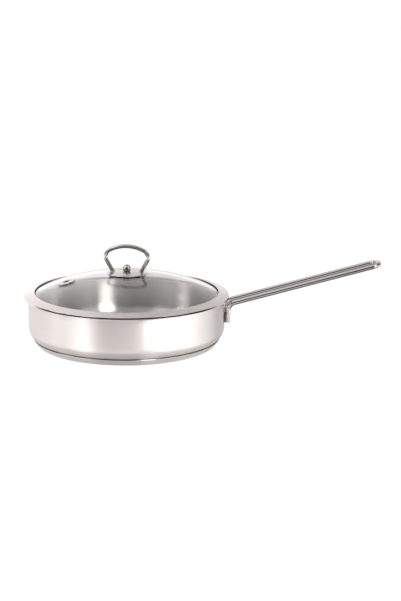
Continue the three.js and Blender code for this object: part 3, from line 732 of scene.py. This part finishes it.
def dome_height(r):
    """The height of the dome's outer face at a distance from the axis."""
    return DOME_CENTRE + math.sqrt(DOME_RADIUS ** 2 - r ** 2)


def dome_arc(radius, from_r, to_r):
    """Points on one of the dome's faces between two distances from the axis."""
    low, high = math.acos(from_r / radius), math.acos(to_r / radius)
    angles = [low + (high - low) * i / DOME_STEPS for i in range(DOME_STEPS + 1)]
    return [Vector((radius * math.cos(a), DOME_CENTRE + radius * math.sin(a))) for a in angles]


inner_foot = math.sqrt(dome_inner ** 2 - (GLASS_BOTTOM - DOME_CENTRE) ** 2)
hole_rim = GLASS_HOLE + GLASS_HOLE_CHAMFER
dome_profile = rounded([
    (DOME_FOOT, GLASS_BOTTOM), (GLASS_RADIUS, GLASS_BOTTOM, GLASS_EDGE),
    (GLASS_RADIUS, GLASS_TOP, GLASS_EDGE), (GLASS_EDGE_STARTS, GLASS_TOP)], closed=False)
dome_profile += dome_arc(DOME_RADIUS, DOME_FOOT, hole_rim)
dome_profile += [Vector((GLASS_HOLE, GLASS_HOLE_TOP)), Vector((GLASS_HOLE, GLASS_HOLE_FOOT))]
dome_profile += dome_arc(dome_inner, hole_rim, inner_foot)
glass_dome = turned("tempered_glass_dome", dome_profile)

VENT_OFFSET = 74
VENT_ANGLE = 187
DRILL_RADIUS, DRILL_LOW, DRILL_HIGH = 5.3, -9, 5
DRILL_SIDES = 64
vent_turn = math.radians(VENT_ANGLE)
vent_seat = Vector((
    VENT_OFFSET * math.cos(vent_turn), VENT_OFFSET * math.sin(vent_turn), dome_height(VENT_OFFSET)))
vent_normal = (vent_seat - Vector((0, 0, DOME_CENTRE))).normalized()
vent_tilt = Vector((0, 0, 1)).rotation_difference(vent_normal)
vent_place = Matrix.Translation(vent_seat * MM) @ vent_tilt.to_matrix().to_4x4()

drill = turned("vent_drill", [
    (0, DRILL_LOW), (DRILL_RADIUS, DRILL_LOW), (DRILL_RADIUS, DRILL_HIGH), (0, DRILL_HIGH)],
    DRILL_SIDES, closed=False)
drill.data.transform(vent_place)
drilling = glass_dome.modifiers.new("vent_hole", "BOOLEAN")
drilling.object = drill
drilling.solver = "EXACT"
bpy.context.view_layer.update()
drilled = bpy.data.meshes.new_from_object(glass_dome.evaluated_get(bpy.context.evaluated_depsgraph_get()))
glass_dome.modifiers.clear()
glass_dome.data = drilled
drilled.set_sharp_from_angle(angle=SHARP_EDGE)
bpy.data.objects.remove(drill)
dress(glass_dome, tempered_glass, "lid", "lid_clear_glass", "lid_glass")


# Lid band: a ring of 1 mm stainless steel rolled round the glass and its seal.
# Its wide top slopes outward over the rim and ends in a rolled lip; its skirt locates the lid in the pan.

# Stainless steel, spun satin on top and burnished on the lip by the rolling: the lip mirrors the room.
# The real lines are about 0.1 mm apart and are drawn 0.7 mm apart to show.
BAND_LIGHT, BAND_DULL = "#DFD9D7", "#D7D1CF"
SPUN_SPACING, SPUN_LENGTH, SPUN_RADIUS = 0.7, 45, 119
SPUN_SMOOTH, SPUN_ROUGH = 0.22, 0.3
LIP_STARTS, LIP_BRIGHT = 124.9, 125.5
LIP_POLISH = 0.07
spun_steel, spun, spun_shader = new_material(
    "spun_stainless_steel", Metallic=1.0, Anisotropic=0.7, Anisotropic_Rotation=0.25)
spun_lines, spun_radius = ring_lines(spun, SPUN_SPACING, SPUN_LENGTH, SPUN_RADIUS)
burnish = add_node(spun, "ShaderNodeMapRange", {
    "From Min": LIP_STARTS * MM, "From Max": LIP_BRIGHT * MM, "To Max": LIP_POLISH},
    {"Value": spun_radius, "To Min": span(spun, spun_lines, SPUN_SMOOTH, SPUN_ROUGH)})
feed(spun, spun_shader,
     Base_Color=tinted(spun, spun_lines, BAND_LIGHT, BAND_DULL),
     Roughness=burnish.outputs[0],
     Tangent=round_grain(spun))

SKIRT_OUTER, SKIRT_INNER = 118.8, 117.8
SKIRT_FOOT, SKIRT_SHELF = 56.343, 57.343
SHELF_END = 113.2
BAND_OVER_RIM, BAND_OVER_SEAL = 62.627, 62.895
BAND_INNER, BAND_INNER_TOP, BAND_INNER_UNDER = 113.3, 65.136, 64.1
LIP_BEND_INNER, LIP_BEND_OUTER = (125.049, 60.952), (125.854, 61.772)
LIP_END_INNER, LIP_END_OUTER = (125.513, 59.335), (126.474, 59.61)
BAND_EDGE, SKIRT_BEND = 0.3, 0.4
LIP_INNER_RADIUS, LIP_OUTER_RADIUS = 0.5, 0.6
BAND_TOP_EDGE, BAND_UNDER_EDGE = 0.25, 0.2
lid_band = turned("rolled_lid_band", rounded([
    (SKIRT_OUTER, SKIRT_FOOT, BAND_EDGE), (SKIRT_OUTER, BAND_OVER_RIM, BAND_EDGE),
    (*LIP_BEND_INNER, LIP_INNER_RADIUS), (*LIP_END_INNER, BAND_EDGE), (*LIP_END_OUTER, BAND_EDGE),
    (*LIP_BEND_OUTER, LIP_OUTER_RADIUS), (BAND_INNER, BAND_INNER_TOP, BAND_TOP_EDGE),
    (BAND_INNER, BAND_INNER_UNDER, BAND_UNDER_EDGE), (SKIRT_INNER, BAND_OVER_SEAL, SKIRT_BEND),
    (SKIRT_INNER, SKIRT_SHELF, SKIRT_BEND), (SHELF_END, SKIRT_SHELF, BAND_EDGE),
    (SHELF_END, SKIRT_FOOT, BAND_EDGE)]))
dress(lid_band, spun_steel, "lid", "band_steel", "lid_band")


# Steam vent: a stainless steel eyelet set through the glass, its two flanges rolled over the faces.
# It lets steam out so that the lid does not lift. Heights are from the glass's outer face.
EYELET_BORE, EYELET_TUBE, EYELET_FLANGE = 4, 5, 11.5
EYELET_LOW, EYELET_LOW_SEAT, EYELET_SEAT, EYELET_TOP = -5.2, -4.5, 0.5, 1.2
EYELET_EDGE, EYELET_ROOT, EYELET_MOUTH = 0.3, 0.2, 0.6
EYELET_SIDES = 72
eyelet = turned("steam_vent_eyelet", rounded([
    (EYELET_BORE, EYELET_LOW, EYELET_EDGE), (EYELET_FLANGE, EYELET_LOW, EYELET_EDGE),
    (EYELET_FLANGE, EYELET_LOW_SEAT, EYELET_EDGE), (EYELET_TUBE, EYELET_LOW_SEAT, EYELET_ROOT),
    (EYELET_TUBE, EYELET_SEAT, EYELET_ROOT), (EYELET_FLANGE, EYELET_SEAT, EYELET_EDGE),
    (EYELET_FLANGE, EYELET_TOP, EYELET_EDGE), (EYELET_BORE, EYELET_TOP, EYELET_MOUTH)]), EYELET_SIDES)
eyelet.data.transform(vent_place)
dress(eyelet, bright_steel, "lid", "polished_steel", "vent_eyelet")


# Knob plate: a crowned disc of 1.2 mm stainless steel on a silicone gasket at the top of the dome.
# The gasket has a sleeve that keeps the screw off the glass.
PLATE_UNDER, PLATE_TOP = 88.51, 89.71
PLATE_RADIUS = 25.05
PLATE_CROWN = 1.3
PLATE_EDGE = 0.5
PLATE_STEPS, PLATE_EDGE_STEPS = 16, 12
PLATE_SIDES = 128
SCREW_HOLE = 3.25


def plate_fall(r):
    """How far the plate has fallen from its middle at a distance from the axis."""
    return PLATE_CROWN * (r / PLATE_RADIUS) ** 2


def spaced(first, last, steps):
    """Values at even steps from the first to the last."""
    return [first + (last - first) * i / steps for i in range(steps + 1)]


plate_flat = PLATE_RADIUS - PLATE_EDGE
plate_radii = spaced(SCREW_HOLE, plate_flat, PLATE_STEPS)
plate_profile = [Vector((r, PLATE_UNDER - plate_fall(r))) for r in plate_radii]
half_plate = (PLATE_TOP - PLATE_UNDER) / 2
edge_middle = PLATE_UNDER + half_plate - PLATE_CROWN
for swing in spaced(-math.pi / 2, math.pi / 2, PLATE_EDGE_STEPS)[1:-1]:
    edge_radius = plate_flat + PLATE_EDGE * math.cos(swing)
    plate_profile.append(Vector((edge_radius, edge_middle + half_plate * math.sin(swing))))
plate_profile += [Vector((r, PLATE_TOP - plate_fall(r))) for r in reversed(plate_radii)]
knob_plate = turned("crowned_knob_plate", plate_profile, PLATE_SIDES)
dress(knob_plate, spun_steel, "lid", "band_steel", "knob_plate")

SLEEVE_RADIUS, SLEEVE_FOOT = 4.25, 83.81
GASKET_RADIUS = 22.75
GASKET_CLEARANCE = 0.1
GASKET_STEPS, GASKET_SIDES = 12, 96
gasket_radii = spaced(SLEEVE_RADIUS, GASKET_RADIUS, GASKET_STEPS)
gasket_tops = [PLATE_UNDER - plate_fall(r) - GASKET_CLEARANCE for r in gasket_radii]
gasket_profile = [Vector((SCREW_HOLE, SLEEVE_FOOT)), Vector((SLEEVE_RADIUS, SLEEVE_FOOT))]
gasket_profile += [Vector((r, dome_height(r) + GASKET_CLEARANCE)) for r in gasket_radii]
gasket_profile += [Vector((r, z)) for r, z in reversed(list(zip(gasket_radii, gasket_tops)))]
gasket_profile += [Vector((SCREW_HOLE, gasket_tops[0]))]
plate_gasket = turned("knob_plate_gasket", gasket_profile, GASKET_SIDES)
dress(plate_gasket, silicone, "lid", "seal_silicone", "knob_gasket")


# Knob loop: 5 mm stainless steel wire bent to an arch wider than its feet, bright polished.
# Each foot is cut level and welded to the plate with a small fillet.
WIRE_RADIUS = 2.5
LOOP_FOOT, LOOP_SHOULDER = 17.7, 30.2
LOOP_SHOULDER_UP = 21.6
LOOP_BEND = 9.5
LOOP_SLOPE = 26.3
LOOP_TURN = -10
LOOP_STRAIGHT = 0.5
FILLET, FILLET_STEPS = 0.8, 6
slope = math.radians(LOOP_SLOPE)
shoulder_z = PLATE_TOP + LOOP_SHOULDER_UP
crown_z = shoulder_z + LOOP_SHOULDER * math.tan(slope)
leg_lean = math.atan2(LOOP_SHOULDER - LOOP_FOOT, LOOP_SHOULDER_UP)
shoulder_run = LOOP_BEND * math.tan((math.pi / 2 - slope + leg_lean) / 2)
crown_bend = (LOOP_SHOULDER / math.cos(slope) - shoulder_run - LOOP_STRAIGHT) / math.tan(slope)
loop_foot_z = PLATE_TOP - plate_fall(LOOP_FOOT)
foot_in = (PLATE_TOP - loop_foot_z) * math.tan(leg_lean)
loop_path = bent_path([
    (Vector((-LOOP_FOOT + foot_in, 0, loop_foot_z)), 0), (Vector((-LOOP_SHOULDER, 0, shoulder_z)), LOOP_BEND),
    (Vector((0, 0, crown_z)), crown_bend), (Vector((LOOP_SHOULDER, 0, shoulder_z)), LOOP_BEND),
    (Vector((LOOP_FOOT - foot_in, 0, loop_foot_z)), 0)])


def fillet_rings(foot, way):
    """Stations of the level weld fillet at the foot of a leg that leaves the plate in a direction."""
    level = Vector((0, 0, 1))
    rings = []
    for up in spaced(0, FILLET, FILLET_STEPS):
        flare = FILLET - math.sqrt(FILLET ** 2 - (FILLET - up) ** 2)
        rings.append((foot + way * (up / way.z), way, WIRE_RADIUS + flare, level))
    return rings


first_foot, first_way = loop_path[0]
final_foot, final_way = loop_path[-1]
loop_rings = fillet_rings(first_foot, first_way)
loop_rings += [(centre, way, WIRE_RADIUS, way) for centre, way in loop_path[1:-1]]
loop_rings += [(centre, final_way, radius, -level)
               for centre, way, radius, level in reversed(fillet_rings(final_foot, -final_way))]
wire_loop = swept("wire_knob_loop", loop_rings)
wire_loop.data.transform(Matrix.Rotation(math.radians(LOOP_TURN), 4, "Z"))
dress(wire_loop, bright_steel, "lid", "polished_steel", "knob_loop")


# Knob screw: a stainless steel screw with a ball head, bright polished, down through plate and glass.
# Its shank ends inside the dome nut.
SHANK_RADIUS, SHANK_END, SHANK_EDGE = 3, 72.91, 0.4
BALL_RADIUS = 5.025
BALL_SEAT, BALL_LIFT = 3.7, 3.4
BALL_STEPS, BALL_SIDES = 32, 64
ball_z = PLATE_TOP + BALL_LIFT
seat_angle = -math.atan2(BALL_LIFT, BALL_SEAT)
screw_profile = rounded([
    (0, SHANK_END), (SHANK_RADIUS, SHANK_END, SHANK_EDGE), (SHANK_RADIUS, PLATE_TOP), (BALL_SEAT, PLATE_TOP)],
    closed=False)
for swing in spaced(seat_angle, math.pi / 2, BALL_STEPS)[1:-1]:
    screw_profile.append(Vector((BALL_RADIUS * math.cos(swing), ball_z + BALL_RADIUS * math.sin(swing))))
screw_profile.append(Vector((0, ball_z + BALL_RADIUS)))
ball_screw = turned("ball_head_screw", screw_profile, BALL_SIDES, closed=False)
dress(ball_screw, bright_steel, "lid", "polished_steel", "knob_screw")


# Under the glass: a silicone gasket, a flat washer, a split washer and a dome nut clamp the knob.
# The nut is closed, so that nothing gets at the thread.
# Each washer: its solid, material, slot, lower and upper face, radius and rounded edge.
WASHERS = {
    "lower_gasket": ("under_gasket", silicone, "seal_silicone", 82.01, 83.21, 10, 0.4),
    "flat_washer": ("under_washer", bright_steel, "polished_steel", 80.81, 82.01, 9, 0.25),
}
WASHER_SIDES = 72
for washer_name, (node, material, slot, low, high, radius, edge) in WASHERS.items():
    disc = turned(washer_name, rounded([
        (SCREW_HOLE, low, edge), (radius, low, edge), (radius, high, edge), (SCREW_HOLE, high, edge)]),
        WASHER_SIDES)
    dress(disc, material, "lid", slot, node)

NUT_TOP, SPLIT_TOP = 79.41, 80.81
SPLIT_OUTER, SPLIT_EDGE = 5.25, 0.2
SPLIT_GAP = 15
SPLIT_STEPS = 60
split_profile = rounded([
    (SCREW_HOLE, NUT_TOP, SPLIT_EDGE), (SPLIT_OUTER, NUT_TOP, SPLIT_EDGE),
    (SPLIT_OUTER, SPLIT_TOP, SPLIT_EDGE), (SCREW_HOLE, SPLIT_TOP, SPLIT_EDGE)])
split_points, split_faces = [], []
for degrees in spaced(SPLIT_GAP / 2, 360 - SPLIT_GAP / 2, SPLIT_STEPS):
    angle = math.radians(degrees)
    split_points += [(r * math.cos(angle), r * math.sin(angle), z) for r, z in split_profile]
count = len(split_profile)
for j in range(SPLIT_STEPS):
    for k in range(count):
        nxt = (k + 1) % count
        split_faces.append((j * count + k, (j + 1) * count + k, (j + 1) * count + nxt, j * count + nxt))
split_faces.append(tuple(range(count)))
split_faces.append(tuple(reversed(range(SPLIT_STEPS * count, (SPLIT_STEPS + 1) * count))))
split_washer = make_piece("split_washer", split_points, split_faces)
dress(split_washer, bright_steel, "lid", "polished_steel", "spring_washer")

NUT_FLAT = 5
NUT_SHOULDER = 73.91
NUT_DOME, NUT_DOME_STEPS = 4.6, 12
NUT_BORE, NUT_BORE_END, NUT_BORE_EDGE = 3.15, 72.41, 0.2
NUT_SIDES = 96
NUT_EDGE = 0.3
NUT_SHOULDER_IN, NUT_SHOULDER_FLAT = 0.25, 0.1
NUT_SHARP_EDGE = math.radians(25)
NUT_CHAMFER = math.radians(30)
chamfer = math.tan(NUT_CHAMFER)
hex_reach = []
for j in range(NUT_SIDES):
    from_flat = (2 * math.pi * j / NUT_SIDES + math.pi / 6) % (math.pi / 3) - math.pi / 6
    hex_reach.append(NUT_FLAT / math.cos(from_flat))
nut_rings = [[(0, NUT_SHOULDER - NUT_DOME)]]
for swing in spaced(-math.pi / 2, 0, NUT_DOME_STEPS)[1:]:
    ring = (NUT_DOME * math.cos(swing), NUT_SHOULDER + NUT_DOME * math.sin(swing))
    nut_rings.append([ring] * NUT_SIDES)
nut_rings.append([
    (reach - NUT_SHOULDER_IN, NUT_SHOULDER + max(0, reach - NUT_FLAT - NUT_SHOULDER_FLAT) * chamfer)
    for reach in hex_reach])
nut_rings.append([(reach, NUT_SHOULDER + NUT_EDGE + (reach - NUT_FLAT) * chamfer) for reach in hex_reach])
nut_rings.append([(reach, NUT_TOP - NUT_EDGE - (reach - NUT_FLAT) * chamfer) for reach in hex_reach])
nut_rings.append([(NUT_FLAT - NUT_EDGE, NUT_TOP)] * NUT_SIDES)
nut_rings.append([(NUT_BORE + NUT_BORE_EDGE, NUT_TOP)] * NUT_SIDES)
nut_rings.append([(NUT_BORE, NUT_TOP - NUT_BORE_EDGE)] * NUT_SIDES)
nut_rings.append([(NUT_BORE, NUT_BORE_END)] * NUT_SIDES)
nut_rings.append([(0, NUT_BORE_END)])
dome_nut = lofted("dome_nut", nut_rings, NUT_SIDES, closed=False)
dome_nut.data.set_sharp_from_angle(angle=NUT_SHARP_EDGE)
dress(dome_nut, bright_steel, "lid", "polished_steel", "under_nut")
